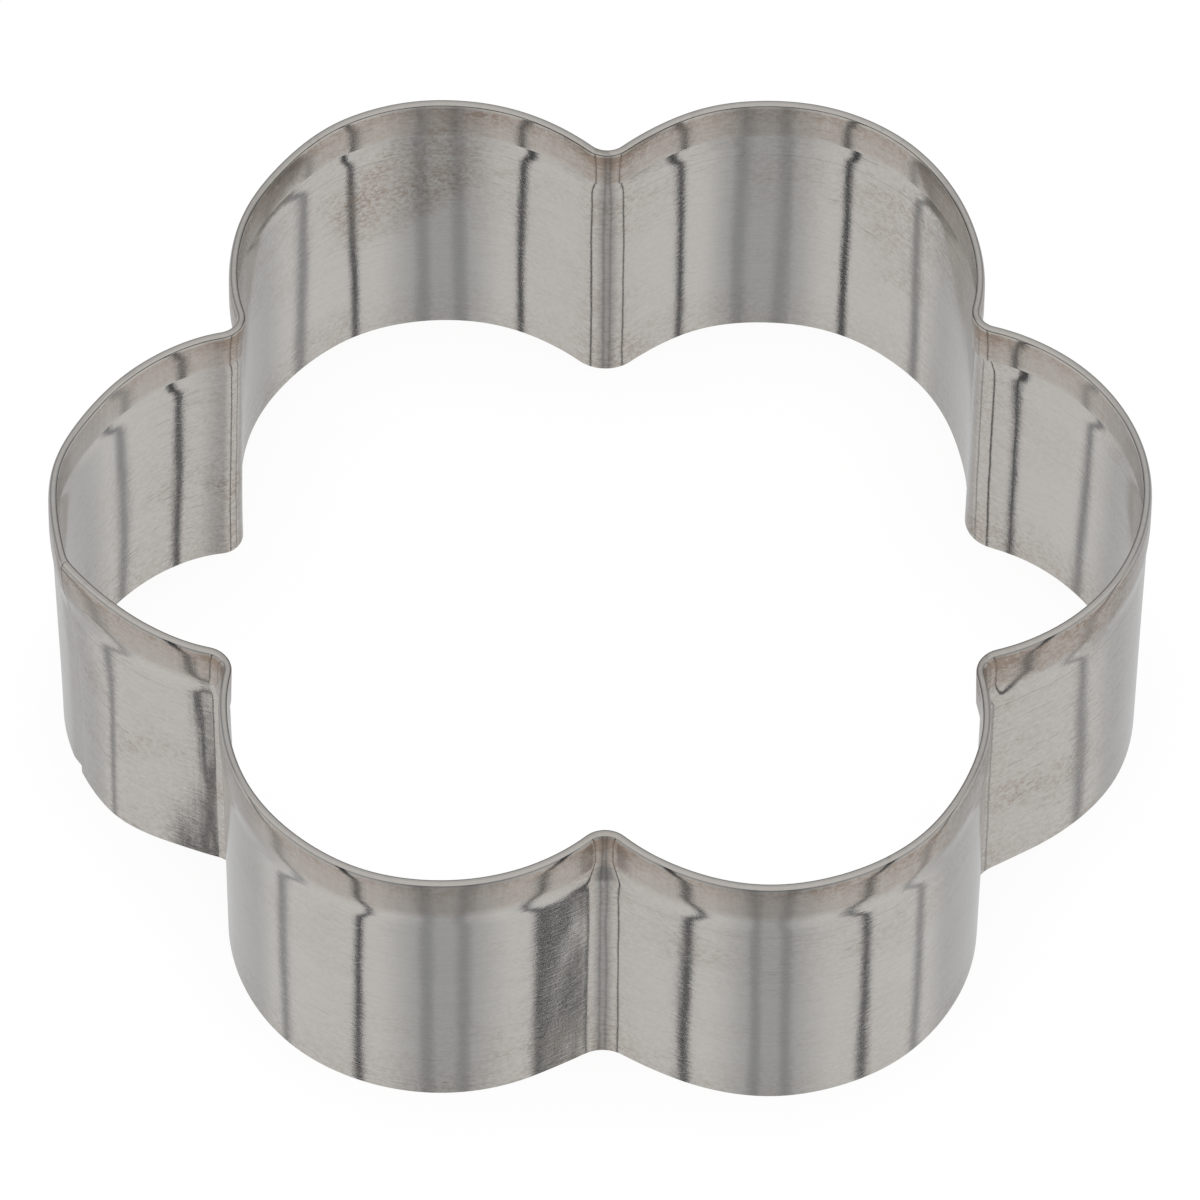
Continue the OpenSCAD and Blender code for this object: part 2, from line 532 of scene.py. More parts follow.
# %% [markdown]
# Hand-made unevenness.
#
# No petal of a real cutter is a true arc: the strip was pushed round by hand and then
# knocked about in a drawer. Lattices could bend it, but soft pulls are simpler: one point is
# moved and the points around it follow, less the further they are away. Sheet metal
# bends along its whole height, so the mesh is first squashed flat enough for a pull to
# fade just before the other edge, and is stretched again afterwards. That makes every
# pull a bend in the sheet and never a bump. Only the kink at the seam, where one end of the
# hem stands proud of the other, has a sharp peak and fades sooner.

# %% Pull one place of the strip
PULL_REACH = 7.0
PULL_BESIDE = 0.7


def pull(degrees, height, push, depth=DEPTH, falloff="SMOOTH"):
    """Pull the strip outward at one place round the flower, fading over a depth."""
    mesh = bmesh.from_edit_mesh(strip.data)
    aim = math.radians(degrees)
    towards = Vector((math.cos(aim), math.sin(aim)))
    best, place = None, None
    for vertex in mesh.verts:
        p = vertex.co / MM
        if abs(p.z - height) < PULL_BESIDE:
            turn = abs(Vector((p.x - FLOWER_X, p.y)).angle_signed(towards))
            if best is None or turn < best:
                best, place, way = turn, vertex.co.copy(), vertex.normal.copy()
    way.z = 0
    way.normalize()
    if way.xy.dot(towards) < 0:
        way.negate()
    squash = PULL_REACH / depth
    bpy.ops.mesh.select_all(action="SELECT")
    bpy.ops.transform.resize(value=(1, 1, squash), center_override=place)
    pick(strip, lambda p: (p * MM - place).length < NEAR * MM)
    bpy.ops.transform.translate(
        value=way * push * MM, use_proportional_edit=True,
        proportional_edit_falloff=falloff, proportional_size=PULL_REACH * MM)
    bpy.ops.mesh.select_all(action="SELECT")
    bpy.ops.transform.resize(value=(1, 1, 1 / squash), center_override=place)


only(strip)
bpy.ops.object.mode_set(mode="EDIT")
bpy.ops.mesh.select_all(action="SELECT")
bpy.ops.mesh.normals_make_consistent(inside=False)
print("a pull reaches", PULL_REACH, "mm along the strip")

# %% Pull the rim and the foot in and out
# Each pull is (degrees round the flower from the right, millimetres outward)
RIM_Z = 24
RIM_PULLS = [
    (5, 0.10), (15, 0.12), (24, 0.08), (33, 0.04), (41, -0.14), (48, -0.10), (58, 0.12),
    (67, 0.14), (78.5, 0.12), (84, -0.16), (95, -0.16), (104.5, -0.10), (116, -0.02),
    (129, -0.30), (138, -0.12), (153.5, 0.24), (161.5, -0.10), (169, -0.28), (180, 0.22),
    (210, 0.24), (235, -0.08), (252, -0.06), (260, -0.03), (287, 0.12), (314, -0.16)]
FOOT_PULLS = [
    (23, 0.12), (33, 0.12), (42, -0.26), (52, -0.12), (66, 0.10), (78.5, 0.16), (84, -0.12),
    (94, -0.04), (104.5, 0.10), (116, 0.10), (128, -0.10), (150, 0.60), (158, 0.20),
    (189, -0.10), (198, 0.14), (204.5, -0.46), (211, 0.06), (235, 0.06), (290, 0.10),
    (303, 0.10), (330, 0.10), (350, 0.15)]
KINK_AT = 190.2
KINK = 0.75
KINK_DEPTH = 15

for degrees, push in RIM_PULLS:
    pull(degrees, RIM_Z, push)
for degrees, push in FOOT_PULLS:
    pull(degrees, 0, push)
pull(KINK_AT, RIM_Z, KINK, depth=KINK_DEPTH, falloff="SHARP")
bpy.ops.object.mode_set(mode="OBJECT")
print("the strip was pulled in", len(RIM_PULLS) + len(FOOT_PULLS), "places and kinked in one")

# %% [markdown]
# The sheet's thickness.
#
# Extruding every face would do, but a Solidify modifier with even thickness keeps the sheet
# as thick in its bends as on its flats. It grows both ways from the middle of the sheet,
# which is where the arcs were drawn. Loose edges are deleted and normals recalculated
# first, because an edge would get no thickness and a turned face would grow the wrong way.

# %% Thicken the sheet
SMOOTH_UNDER = 35

bpy.ops.object.mode_set(mode="EDIT")
bpy.ops.mesh.select_all(action="SELECT")
bpy.ops.mesh.delete_loose()
bpy.ops.mesh.select_all(action="SELECT")
bpy.ops.mesh.normals_make_consistent(inside=False)
bpy.ops.object.mode_set(mode="OBJECT")
solid = strip.modifiers.new("sheet", "SOLIDIFY")
solid.thickness = SHEET * MM
solid.offset = 0
solid.use_even_offset = True
bpy.ops.object.modifier_apply(modifier="sheet")
bpy.ops.object.shade_smooth_by_angle(angle=math.radians(SMOOTH_UNDER))
print("the solid strip has", len(strip.data.polygons), "faces")

# %% [markdown]
# The spot welds.
#
# A spot welder presses the lap between two copper tips. The inner tip leaves a shallow round
# dish with a raised ring on the tongue, and the outer face stays clean. A dent could be
# pulled into the sheet itself, but a mark of its own can have its own burnt finish. It
# starts as a thin cylinder on the tongue's inner face, and insets that are pushed in and
# out shape it. Each mark is then bowed with the sheet, so that its edge sinks in evenly.

# %% Find where the marks go
WELDS = 3
WELD = 2.4

weld_angle = lap_angle + TONGUE / (WALL["seam"] - inward) / 2
weld_heights = [TONGUE_Z * (i + 1) / (WELDS + 1) for i in range(WELDS)]
weld_out = Vector((math.cos(weld_angle), math.sin(weld_angle), 0))
tongue_face = WALL["seam"] - inward - SHEET / 2


def nearest(place):
    """Return the strip's nearest vertex to a place in millimetres, and its inward normal."""
    vertex = min(strip.data.vertices, key=lambda v: (v.co / MM - place).length_squared)
    normal = vertex.normal.copy()
    if normal.xy.dot(weld_out.xy) > 0:
        normal.negate()
    return vertex.co / MM, normal


print("the marks are at", [round(height, 1) for height in weld_heights], "mm above the foot")

# %% Make one mark at each height and join them
MARK_DEPTH = 0.1
MARK_SIDES = 48
FACING = 0.9
MARK_SMOOTH_UNDER = 40
# Each step is (millimetres inset, millimetres lifted)
MARK_STEPS = [(0.10, 0.035), (0.14, 0.0), (0.14, -0.035), (0.30, -0.02), (0.30, -0.005)]


def make_mark(height):
    """Model a weld mark on the tongue's inner face at this height."""
    wanted = seam_centre.to_3d() + weld_out * tongue_face + Vector((0, 0, height))
    found, normal = nearest(wanted)
    place = wanted + normal * (found - wanted).dot(normal)
    bpy.ops.object.select_all(action="DESELECT")
    bpy.ops.mesh.primitive_cylinder_add(
        vertices=MARK_SIDES, radius=WELD / 2 * MM, depth=MARK_DEPTH * MM, location=place * MM,
        rotation=normal.to_track_quat("Z", "Y").to_euler())
    mark = bpy.context.object
    bpy.ops.object.transform_apply(location=True, rotation=True, scale=True)
    bpy.ops.object.mode_set(mode="EDIT")
    bpy.ops.mesh.select_mode(type="FACE")
    mesh = bmesh.from_edit_mesh(mark.data)
    for face in mesh.faces:
        face.select = len(face.verts) == MARK_SIDES and face.normal.dot(normal) > FACING
    bmesh.update_edit_mesh(mark.data)
    for width, lift in MARK_STEPS:
        bpy.ops.mesh.inset(thickness=width * MM, depth=0)
        bpy.ops.transform.translate(value=normal * lift * MM)
    bpy.ops.mesh.poke()
    bpy.ops.mesh.select_mode(type="VERT")
    bpy.ops.object.mode_set(mode="OBJECT")
    across = normal.cross(Vector((0, 0, 1)))
    for vertex in mark.data.vertices:
        sideways = (vertex.co / MM - place).dot(across)
        vertex.co += normal * sideways ** 2 / (2 * tongue_face) * MM
    return mark


marks = [make_mark(height) for height in weld_heights]
bpy.ops.object.select_all(action="DESELECT")
for mark in marks:
    mark.select_set(True)
bpy.context.view_layer.objects.active = marks[0]
bpy.ops.object.join()
welds = bpy.context.object
welds.name = "weld_marks"
welds.data.name = "weld_marks"
bpy.ops.object.transform_apply(location=True, rotation=True, scale=True)
bpy.ops.object.shade_smooth_by_angle(angle=math.radians(MARK_SMOOTH_UNDER))
print("the lap is held by", WELDS, "weld marks of", WELD, "mm")

# %% [markdown]
# Helpers for the finishes.
#
# A finish is a small network of nodes. One function adds a node with its settings and
# links: an input may be a plain value, another node or one of its outputs. Another function
# turns a hex colour, as a painter picks it, into the linear one that a shader needs.

# %% Colours and nodes


def colour(code):
    """Turn an sRGB hex colour into the linear one that a shader takes."""
    parts = [int(code[i:i + 2], 16) / 255 for i in (1, 3, 5)]
    return [c / 12.92 if c <= 0.04045 else ((c + 0.055) / 1.055) ** 2.4 for c in parts] + [1]


def add(tree, kind, inputs=None, **settings):
    """Add a node, set its settings, and set or link its inputs."""
    node = tree.nodes.new(kind)
    for name, value in settings.items():
        setattr(node, name, value)
    for name, value in (inputs or {}).items():
        if isinstance(value, bpy.types.Node):
            value = next(output for output in value.outputs if output.enabled)
        if isinstance(value, bpy.types.NodeSocket):
            tree.links.new(value, node.inputs[name])
        else:
            node.inputs[name].default_value = value
    return node


def blank(owner):
    """Give a material or a world an empty network of nodes."""
    owner.use_nodes = True
    owner.node_tree.nodes.clear()
    return owner.node_tree


print("a middle grey is", [round(part, 3) for part in colour("#808080")], "in linear light")

# %% [markdown]
# Tinplate.
#
# Tinplate is thin steel that was dipped or plated with tin and then rolled. New, it is a
# bright, faintly warm mirror with fine lines along the strip, where the rolls dragged. With
# use the tin dulls in patches: warm grey blotches with ragged, speckled edges, darkest in
# the band, where fingers and water stay. Scratches and short dashes run mostly along the
# sheet. So the eye sees dark, sharp upright bars in a soft silver grey, and brown only
# where the metal is dull.
#
# A photograph or a painted image could carry such marks, but noise that is stretched on the
# strip's map follows every bend and never repeats. Each pattern below is one noise with its
# real size along and up the strip, its detail, and the levels between which it turns from
# none to full. A tilt turns a pattern's lines by so many degrees on the strip. The speckle
# and the roll lines are really finer than this, and are drawn as coarse as they must be to
# show in the picture.

# %% Make the patterns of the tinplate
PATTERNS = {
    # name: (mm along, mm up, tilt, detail, roughness, none at, full at)
    "patch": (15, 10, 0, 8, 0.66, 0.50, 0.60),
    "haze": (30, 22, 0, 3, 0.5, 0.38, 0.62),
    "speckle": (0.36, 0.30, 0, 4, 0.7, 0.40, 0.62),
    "fleck": (0.8, 0.6, 0, 6, 0.75, 0.60, 0.66),
    "roll": (7, 0.20, 0, 4, 0.65, 0.30, 0.70),
    "rib": (0.30, 3.5, 0, 3, 0.6, 0.35, 0.65),
    "dash": (2.6, 0.16, 0, 2, 0.5, 0.655, 0.70),
    "scratch": (5.0, 0.07, -28, 2, 0.5, 0.70, 0.76),
    "wander": (5, 15, 0, 2, 0.45, 0, 1),
    "wobble": (3.2, 4.5, 0, 3, 0.5, 0, 1),
    "ragged": (1.8, 0.30, 0, 4, 0.65, 0, 1),
}
# Each pattern starts this far from the last one in its noise, so that no two look alike
APART = Vector((37.3, 23.1, 11.7))

tin = bpy.data.materials.new("tinplate")
tree = blank(tin)
map_place = add(tree, "ShaderNodeUVMap", uv_map="strip")
pattern = {}
for number, (name, values) in enumerate(PATTERNS.items()):
    length, height, tilt, detail, rough, none, full = values
    turned = add(tree, "ShaderNodeMapping", {
        "Vector": map_place, "Location": number * APART, "Rotation": (0, 0, math.radians(tilt))})
    sized = add(tree, "ShaderNodeVectorMath", {
        0: turned, 1: (1 / length, 1 / height, 1)}, operation="MULTIPLY")
    noise = add(tree, "ShaderNodeTexNoise", {
        "Vector": sized, "Scale": 1, "Detail": detail, "Roughness": rough})
    pattern[name] = add(tree, "ShaderNodeMapRange", {
        "Value": noise, "From Min": none, "From Max": full})
print("the tinplate has", len(pattern), "patterns")

# %% [markdown]
# Where the tarnish, the painted shade and the painted highlight lie.
#
# Some of the tarnish lies at a height: the band, and the foot, which stands in the wet. The
# corner under the rim is darkened as painted shade, and the rim's top is kept almost free of
# tarnish as a painted highlight. One jagged stain lies inside a back petal. It is an ellipse on
# the strip's map, whose edge is broken by a ragged noise.

# %% Mark the zones and the stain
ZONES = {
    # name: (height in millimetres where it begins, height where it is full)
    "band": (CREASE_Z + 0.9, BAND_Z + 0.2),
    # painted shade: the strip under the rim is darkened
    "under rim": (23.2, 24.9),
    # painted highlight: the rim's top is left almost bare of tarnish
    "rim top": (24.85, 25.1),
    "foot": (5.0, 0.0),
}
STAIN_AT = (196.2, 16.4, 0)
STAIN_TILT = 48
STAIN_LONG = 8.5
STAIN_WIDE = 4.6
STAIN_RAGGED = 1.1
STAIN_NONE = 1.55
STAIN_FULL = 1.25

bend_share = add(tree, "ShaderNodeAttribute", attribute_name="bend").outputs["Fac"]
up_strip = add(tree, "ShaderNodeSeparateXYZ", {0: map_place}).outputs["Y"]
zone = {}
for name, (begins, full) in ZONES.items():
    zone[name] = add(tree, "ShaderNodeMapRange", {
        "Value": up_strip, "From Min": begins, "From Max": full})

from_stain = add(tree, "ShaderNodeVectorMath", {0: map_place, 1: STAIN_AT}, operation="SUBTRACT")
turned = add(tree, "ShaderNodeMapping", {
    "Vector": from_stain, "Rotation": (0, 0, math.radians(STAIN_TILT))})
sized = add(tree, "ShaderNodeVectorMath", {
    0: turned, 1: (1 / STAIN_LONG, 1 / STAIN_WIDE, 0)}, operation="MULTIPLY")
away = add(tree, "ShaderNodeVectorMath", {0: sized}, operation="LENGTH").outputs["Value"]
edge = add(tree, "ShaderNodeMath", {
    0: pattern["ragged"], 1: STAIN_RAGGED, 2: away}, operation="MULTIPLY_ADD")
stain = add(tree, "ShaderNodeMapRange", {
    "Value": edge, "From Min": STAIN_NONE, "From Max": STAIN_FULL})
print("the tarnish lies in", len(zone) - 1, "zones and one stain")

# %% [markdown]
# How dull the tin is, with its painted shade.
#
# Every layer of tarnish or painted shade is made in one way: a place, times a pattern that
# breaks it up, plus a little of it everywhere in that place. Two layers are painted shade: in
# the valleys, and under the rim. The layers add up to one value between 0 and 1, which turns
# the tin's colour to a warm brown grey and also makes it rougher. At the rim's top that value
# is cut down, as a painted highlight.

# %% Add up the tarnish and the painted shade
blotch_share = add(tree, "ShaderNodeMath", {
    0: pattern["speckle"], 1: 0.40, 2: 0.10}, operation="MULTIPLY_ADD")
blotch = add(tree, "ShaderNodeMath", {0: pattern["patch"], 1: blotch_share}, operation="MULTIPLY")
near_bend = add(tree, "ShaderNodeMath", {0: bend_share, 1: 0.5, 2: 0.08}, operation="MULTIPLY_ADD")
LAYERS = [
    # (where it lies, what breaks it up, how much of that, how much everywhere)
    (blotch, pattern["haze"], 0.75, 0.25),
    (pattern["speckle"], pattern["haze"], 0.18, 0.08),
    (zone["foot"], pattern["speckle"], 0.20, 0.03),
    # painted shade: the tin is darkened in the valleys
    (bend_share, pattern["speckle"], 0.20, 0.10),
    (stain, pattern["speckle"], 0.30, 0.11),
    (zone["band"], pattern["rib"], 0.10, 0.32),
    # painted shade: the strip under the rim is darkened, more near the valleys
    (zone["under rim"], pattern["speckle"], 0.20, near_bend),
]
# how far the painted highlight on the rim's top takes the tarnish away
RIM_HIGHLIGHT = 0.8

tarnish_and_shade = 0.0
for where, broken_by, much, everywhere in LAYERS:
    share = add(tree, "ShaderNodeMath", {
        0: broken_by, 1: much, 2: everywhere}, operation="MULTIPLY_ADD")
    tarnish_and_shade = add(tree, "ShaderNodeMath", {0: where, 1: share, 2: tarnish_and_shade}, operation="MULTIPLY_ADD")
# painted highlight: the rim's top is lightened
left_over = add(tree, "ShaderNodeMath", {
    0: zone["rim top"], 1: -RIM_HIGHLIGHT, 2: 1.0}, operation="MULTIPLY_ADD")
dull_and_shade = add(tree, "ShaderNodeMath", {0: tarnish_and_shade, 1: left_over}, operation="MULTIPLY")
# In a colour Mix node, the two colours are inputs 6 and 7
tone = add(tree, "ShaderNodeMix", {
    "Factor": dull_and_shade, 6: colour("#C6C4C0"), 7: colour("#9D8E82")}, data_type="RGBA")
print("the tarnish has", len(LAYERS), "layers")

# %% [markdown]
# Drawn lines.
#
# The rolls left fine lines, and handling left flecks and dashes. One thin dark line round
# the cutter just under the step is painted shade along a crease. All of them only darken the
# tone slightly, so each is one factor in a product.

# %% Draw the fine lines and flecks
# painted shade: a thin dark line round the cutter just under the step
CREASE_SHADE_Z = 19.45
CREASE_SHADE_HALF = 0.03
CREASE_SHADE_FADE = 0.09

off_line = add(tree, "ShaderNodeMath", {0: up_strip, 1: CREASE_SHADE_Z}, operation="SUBTRACT")
from_line = add(tree, "ShaderNodeMath", {0: off_line}, operation="ABSOLUTE")
crease_shade_line = add(tree, "ShaderNodeMapRange", {
    "Value": from_line, "From Min": CREASE_SHADE_FADE, "From Max": CREASE_SHADE_HALF})
some_dashes = add(tree, "ShaderNodeMath", {
    0: pattern["haze"], 1: 0.5, 2: 0.1}, operation="MULTIPLY_ADD")
LINES = [
    # (where it lies, what breaks it up, how much it lightens)
    (pattern["fleck"], pattern["haze"], -0.12),
    # painted shade along the crease under the step
    (crease_shade_line, pattern["haze"], -0.24),
    (pattern["dash"], some_dashes, -0.55),
]

shade = add(tree, "ShaderNodeMath", {0: pattern["roll"], 1: 0.05, 2: 0.95}, operation="MULTIPLY_ADD")
for where, broken_by, much in LINES:
    share = add(tree, "ShaderNodeMath", {0: where, 1: broken_by}, operation="MULTIPLY")
    factor = add(tree, "ShaderNodeMath", {0: share, 1: much, 2: 1.0}, operation="MULTIPLY_ADD")
    shade = add(tree, "ShaderNodeMath", {0: shade, 1: factor}, operation="MULTIPLY")
toned = add(tree, "ShaderNodeMix", {
    "Factor": 1.0, 6: tone, 7: shade}, data_type="RGBA", blend_type="MULTIPLY")
print("the tinplate has", len(LINES), "kinds of drawn marks over its roll lines")

# %% [markdown]
# The sheet's own unevenness.
#
# A bright sheet shows every wave in its reflections. Long waves make the dark bars wander,
# short ones make their edges ragged, and both are stronger in a valley. They are far too
# shallow to model, so bump nodes carry them, each with its real height in micrometres.

# %% Raise the relief
MICRON = 0.001 * MM
RELIEF = {
    # name: (micrometres high, how much more of it in a valley)
    "wander": (34, 4),
    "wobble": (7, 3),
    "ragged": (5, 0),
    "roll": (1.0, 0),
    "speckle": (0.7, 0),
    "scratch": (-1.2, 0),
}

relief = None
for name, (microns, more) in RELIEF.items():
    height = pattern[name]
    if more:
        stronger = add(tree, "ShaderNodeMath", {
            0: bend_share, 1: more, 2: 1.0}, operation="MULTIPLY_ADD")
        height = add(tree, "ShaderNodeMath", {0: height, 1: stronger}, operation="MULTIPLY")
    settings = {"Strength": 1.0, "Distance": abs(microns) * MICRON, "Height": height}
    if relief:
        settings["Normal"] = relief
    relief = add(tree, "ShaderNodeBump", settings, invert=microns < 0)
print("the relief has", len(RELIEF), "sizes of wave")

# %% [markdown]
# The tin's shine.
#
# Rolled metal is smoother along its roll lines than across them, so a reflection is drawn
# out upright and stays sharp sideways. The Principled shader does this with anisotropy. Its
# tangent runs level round the sheet, at right angles to the surface and to the upright.

# %% Join it all in the shader
TARNISH_ROUGH = 0.11
TIN_ROUGH = 0.07
SCRATCH_ROUGH = 0.12

dull_rough = add(tree, "ShaderNodeMath", {
    0: dull_and_shade, 1: TARNISH_ROUGH, 2: TIN_ROUGH}, operation="MULTIPLY_ADD")
rough = add(tree, "ShaderNodeMath", {
    0: pattern["scratch"], 1: SCRATCH_ROUGH, 2: dull_rough}, operation="MULTIPLY_ADD")
facing = add(tree, "ShaderNodeNewGeometry").outputs["Normal"]
tangent = add(tree, "ShaderNodeVectorMath", {0: facing, 1: (0, 0, 1)}, operation="CROSS_PRODUCT")
shader = add(tree, "ShaderNodeBsdfPrincipled", {
    "Base Color": toned, "Metallic": 1.0, "Roughness": rough, "Normal": relief,
    "Anisotropic": 0.85, "Anisotropic Rotation": 0.25, "Tangent": tangent})
add(tree, "ShaderNodeOutputMaterial", {"Surface": shader})
strip.data.materials.clear()
strip.data.materials.append(tin)
print("the tinplate is made of", len(tree.nodes), "nodes")

# %% [markdown]
# Weld steel.
#
# Where the welder's tip pressed, the tin burnt off and the steel below was left bare: a dull
# grey, mottled, with brown and blue-grey heat tint. Bare steel is far rougher than tin, so
# the eye sees three dark, matt dots. Two noises are enough, one for the slow change of
# tint and one for the fine pits.

# %% Make the weld steel
TINT_SIZE = 1.4
PIT_SIZE = 0.22
PIT_HEIGHT = 8

burnt = bpy.data.materials.new("weld_steel")
tree = blank(burnt)
place = add(tree, "ShaderNodeTexCoord").outputs["Object"]
tint = add(tree, "ShaderNodeTexNoise", {
    "Vector": place, "Scale": 1 / (TINT_SIZE * MM), "Detail": 3, "Roughness": 0.6})
tint_share = add(tree, "ShaderNodeMapRange", {"Value": tint, "From Min": 0.38, "From Max": 0.62})
pits = add(tree, "ShaderNodeTexNoise", {
    "Vector": place, "Scale": 1 / (PIT_SIZE * MM), "Detail": 4, "Roughness": 0.65})
pit_share = add(tree, "ShaderNodeMapRange", {"Value": pits, "From Min": 0.35, "From Max": 0.65})
tints = add(tree, "ShaderNodeMix", {
    "Factor": tint_share, 6: colour("#7B7F86"), 7: colour("#86776A")}, data_type="RGBA")
mottled = add(tree, "ShaderNodeMix", {
    "Factor": pit_share, 6: tints, 7: colour("#9B9894")}, data_type="RGBA")
rough = add(tree, "ShaderNodeMapRange", {
    "Value": pits, "From Min": 0.3, "From Max": 0.7, "To Min": 0.30, "To Max": 0.48})
pitted = add(tree, "ShaderNodeBump", {
    "Strength": 1.0, "Distance": PIT_HEIGHT * MICRON, "Height": pits})
shader = add(tree, "ShaderNodeBsdfPrincipled", {
    "Base Color": mottled, "Metallic": 1.0, "Roughness": rough, "Normal": pitted})
add(tree, "ShaderNodeOutputMaterial", {"Surface": shader})
welds.data.materials.clear()
welds.data.materials.append(burnt)
print("the weld steel is made of", len(tree.nodes), "nodes")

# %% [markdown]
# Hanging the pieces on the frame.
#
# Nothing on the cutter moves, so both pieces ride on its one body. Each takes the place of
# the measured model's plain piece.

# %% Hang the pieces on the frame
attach(strip, "root")
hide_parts("cutter_band")
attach(welds, "root")
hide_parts("spot_welds")
print("the frame carries", strip.name, "and", welds.name)

# %% [markdown]
# The floor.
#
# The photograph's ground is pure white, and a lit floor never quite is. So the camera sees
# a floor that glows almost white by itself and has only a faint share of lit paper, which
# keeps a soft shadow. Every other ray sees plain pale paper. The metal doesn't see the
# floor at all, because the studio below stands in for it.

# %% Lay the floor
FLOOR_SIZE = 6
FLOOR_GLOW = 0.91

bpy.ops.object.select_all(action="DESELECT")
bpy.ops.mesh.primitive_plane_add(size=FLOOR_SIZE, location=(0, 0, 0))
floor = bpy.context.object
floor.name = "floor"
paper = bpy.data.materials.new("white_paper")
tree = blank(paper)
rays = add(tree, "ShaderNodeLightPath")
plain = add(tree, "ShaderNodeBsdfDiffuse", {"Color": colour("#E6E6E6")})
shadowed = add(tree, "ShaderNodeBsdfDiffuse", {"Color": colour("#5A5A5A")})
glow = add(tree, "ShaderNodeEmission", {"Color": colour("#FFFFFF"), "Strength": FLOOR_GLOW})
bright = add(tree, "ShaderNodeAddShader", {0: shadowed, 1: glow})
seen = add(tree, "ShaderNodeMixShader", {
    "Fac": rays.outputs["Is Camera Ray"], 1: plain, 2: bright})
add(tree, "ShaderNodeOutputMaterial", {"Surface": seen})
floor.data.materials.append(paper)
floor.visible_glossy = False
print("the floor is", FLOOR_SIZE, "m wide")

# %% [markdown]
# The studio.
#
# Polished metal shows nothing but its surroundings, so its look is made there. The cutter
# stood in a ring of white paper panels. The gaps between them are the dark upright bars in
# the metal: two narrow ones at each side of the front, and a wide, soft one behind. Real
# panels could be modelled, but the world can hold them more simply: its brightness is a
# product of gaps, each with a direction, a width that is fully dark, a width where it ends
# and a depth.

# %% Set up the panels and their gaps
GAPS = [
    # (degrees to the right of the front, dark within, light beyond, how dark)
    (3, 8, 39, 0.33), (-7, 1, 6, 0.25), (12.7, 1, 6, 0.25),
    (-45, 1.5, 3.3, 0.90), (54.5, 1.5, 3.3, 0.90),
    (-94, 1.2, 4.0, 0.66), (93, 1.2, 4.0, 0.66),
    (180, 60, 84, 0.25),
]
HALF_TURN = 180.0

world = bpy.data.worlds.new("studio")
bpy.context.scene.world = world
tree = blank(world)
direction = add(tree, "ShaderNodeTexCoord").outputs["Generated"]
parts = add(tree, "ShaderNodeSeparateXYZ", {0: direction})
forward = add(tree, "ShaderNodeMath", {0: parts.outputs["Y"], 1: -1.0}, operation="MULTIPLY")
azimuth = add(tree, "ShaderNodeMath", {0: parts.outputs["X"], 1: forward}, operation="ARCTAN2")
degrees = add(tree, "ShaderNodeMath", {0: azimuth}, operation="DEGREES")
light = 1.0
for middle, inner, outer, depth in GAPS:
    off = add(tree, "ShaderNodeMath", {0: degrees, 1: middle}, operation="SUBTRACT")
    turned = add(tree, "ShaderNodeMath", {0: off, 1: -HALF_TURN, 2: HALF_TURN}, operation="WRAP")
    away = add(tree, "ShaderNodeMath", {0: turned}, operation="ABSOLUTE")
    gap = add(tree, "ShaderNodeMapRange", {
        "Value": away, "From Min": inner, "From Max": outer,
        "To Min": 1 - depth, "To Max": 1.0}, interpolation_type="SMOOTHSTEP")
    light = add(tree, "ShaderNodeMath", {0: light, 1: gap}, operation="MULTIPLY")
print("the panels leave", len(GAPS), "gaps")

# %% [markdown]
# Above and below.
#
# The walls reflect what lies below the horizon, where the panels stand on white paper that
# gets darker towards them. The rim's fold also reflects the horizon and the ceiling, which
# are bright in front and dimmer behind. That makes a thin dark line along the rim with a
# pale one beside it.

# %% Shade the studio by height
PAPER_ENDS = math.radians(-34)
PANELS_START = math.radians(-17)
HORIZON = (math.radians(-16), math.radians(-4))
# A direction has the length 1. BEHIND is the part of it that points back, OVERHEAD up
BEHIND = (-0.05, 0.30)
OVERHEAD = (0.25, 0.70)
LOW_FRONT, LOW_BACK = 0.46, 0.80
HIGH_BACK, TOP_BACK = 0.50, 0.85

rise = add(tree, "ShaderNodeMath", {0: parts.outputs["Z"]}, operation="ARCSINE")
low_sky = add(tree, "ShaderNodeMapRange", {
    "Value": parts.outputs["Y"], "From Min": BEHIND[0], "From Max": BEHIND[1],
    "To Min": LOW_FRONT, "To Max": LOW_BACK}, interpolation_type="SMOOTHSTEP")
below = add(tree, "ShaderNodeMapRange", {
    "Value": rise, "From Min": PAPER_ENDS, "From Max": PANELS_START,
    "To Min": 1.0, "To Max": low_sky})
lit_below = add(tree, "ShaderNodeMath", {0: light, 1: below}, operation="MULTIPLY")
high_sky = add(tree, "ShaderNodeMapRange", {
    "Value": parts.outputs["Z"], "From Min": OVERHEAD[0], "From Max": OVERHEAD[1],
    "To Min": HIGH_BACK, "To Max": TOP_BACK}, interpolation_type="SMOOTHSTEP")
above = add(tree, "ShaderNodeMapRange", {
    "Value": parts.outputs["Y"], "From Min": BEHIND[0], "From Max": BEHIND[1],
    "To Min": 1.0, "To Max": high_sky}, interpolation_type="SMOOTHSTEP")
horizon = add(tree, "ShaderNodeMapRange", {
    "Value": rise, "From Min": HORIZON[0], "From Max": HORIZON[1]},
    interpolation_type="SMOOTHSTEP")
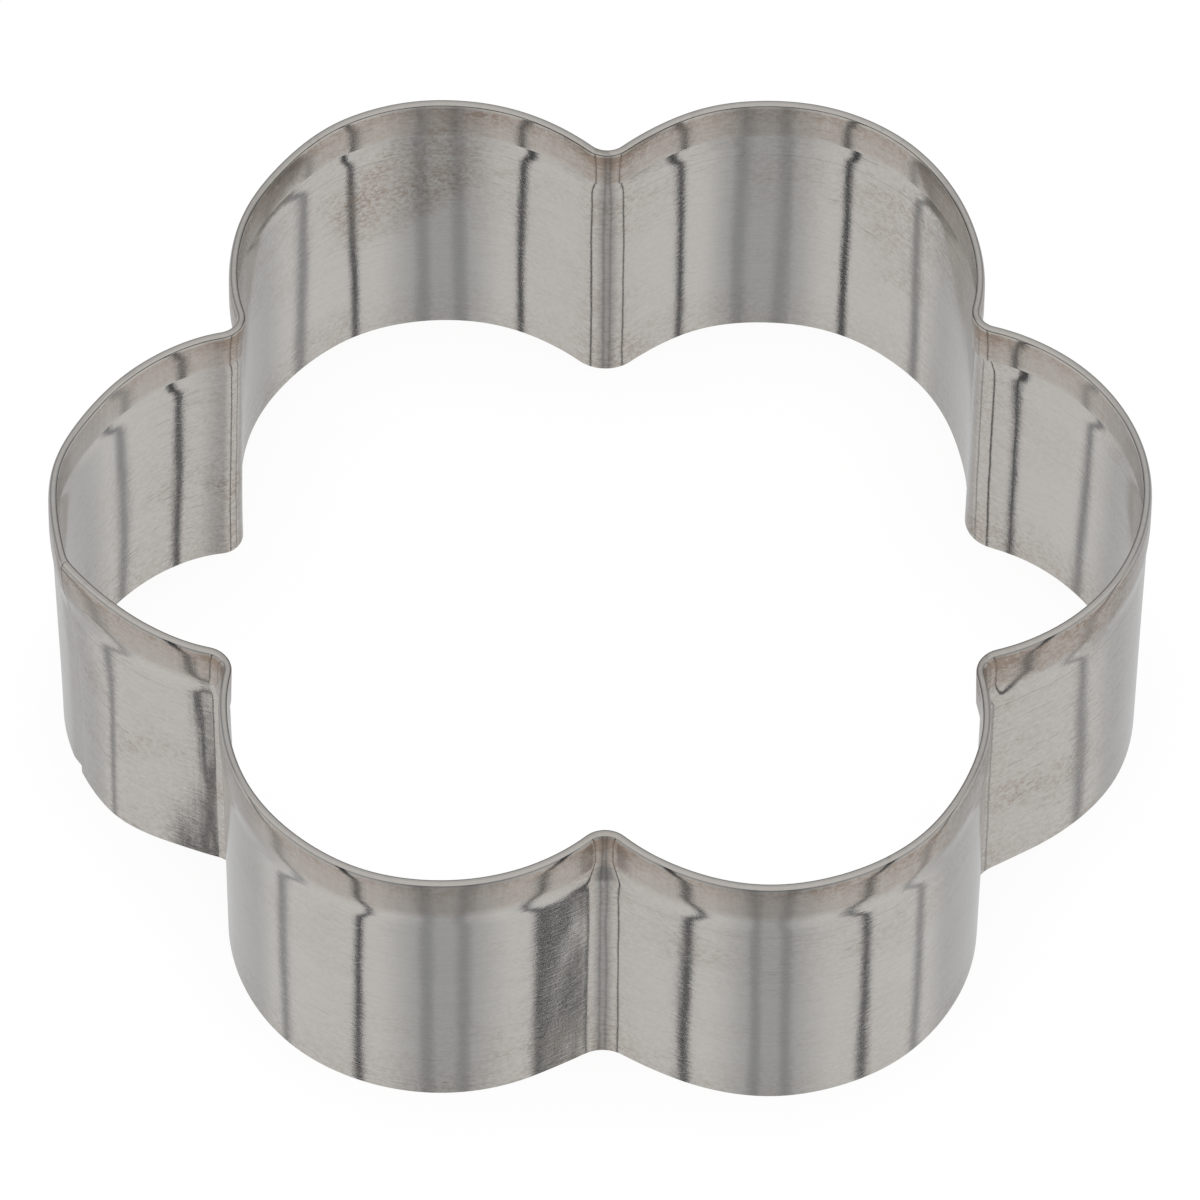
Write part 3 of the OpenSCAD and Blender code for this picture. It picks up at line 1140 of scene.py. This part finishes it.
# In a Mix node of plain values, the two values are inputs 2 and 3
panels = add(tree, "ShaderNodeMix", {
    "Factor": horizon, 2: lit_below, 3: above}, data_type="FLOAT")
print("the panels start", round(-math.degrees(PANELS_START)), "degrees below the horizon")

# %% [markdown]
# Three kinds of ray.
#
# The metal sees the panels, a little cooler where they are dark. The camera sees pure white
# behind the cutter. All other light is plain, soft and even, so that the floor's shadow
# stays faint. A broad lamp overhead, which the metal doesn't see, gives that shadow.

# %% Light the studio
DARK_CAST = "#E5EAF0"
BRIGHT_CAST = "#EEEDEC"
SOFT_LIGHT = 0.65
LAMP_SIZE = 0.6
LAMP_POWER = 4
LAMP_Z = 0.9

cast = add(tree, "ShaderNodeMix", {
    "Factor": panels, 6: colour(DARK_CAST), 7: colour(BRIGHT_CAST)}, data_type="RGBA")
surround = add(tree, "ShaderNodeBackground", {"Color": cast, "Strength": panels})
soft = add(tree, "ShaderNodeBackground", {"Color": colour("#FFFFFF"), "Strength": SOFT_LIGHT})
white = add(tree, "ShaderNodeBackground", {"Color": colour("#FFFFFF"), "Strength": 1.0})
rays = add(tree, "ShaderNodeLightPath")
shiny = add(tree, "ShaderNodeMath", {
    0: rays.outputs["Is Glossy Ray"], 1: rays.outputs["Is Transmission Ray"]},
    operation="MAXIMUM")
lit = add(tree, "ShaderNodeMixShader", {"Fac": shiny, 1: soft, 2: surround})
seen = add(tree, "ShaderNodeMixShader", {"Fac": rays.outputs["Is Camera Ray"], 1: lit, 2: white})
add(tree, "ShaderNodeOutputWorld", {"Surface": seen})

lamp = bpy.data.objects.new("overhead", bpy.data.lights.new("overhead", "AREA"))
bpy.context.scene.collection.objects.link(lamp)
lamp.data.size = LAMP_SIZE
lamp.data.energy = LAMP_POWER
lamp.location = (0, 0, LAMP_Z)
lamp.visible_glossy = False
print("the studio is made of", len(tree.nodes), "nodes and one lamp")

# %% [markdown]
# The view and the strip's width.
#
# The Standard view keeps white paper white. The finished strip's width is printed.

# %% Set the view and print the strip's width
bpy.context.scene.view_settings.view_transform = "Standard"
print("the finished strip is", round(strip.dimensions.x / MM, 1), "mm wide")
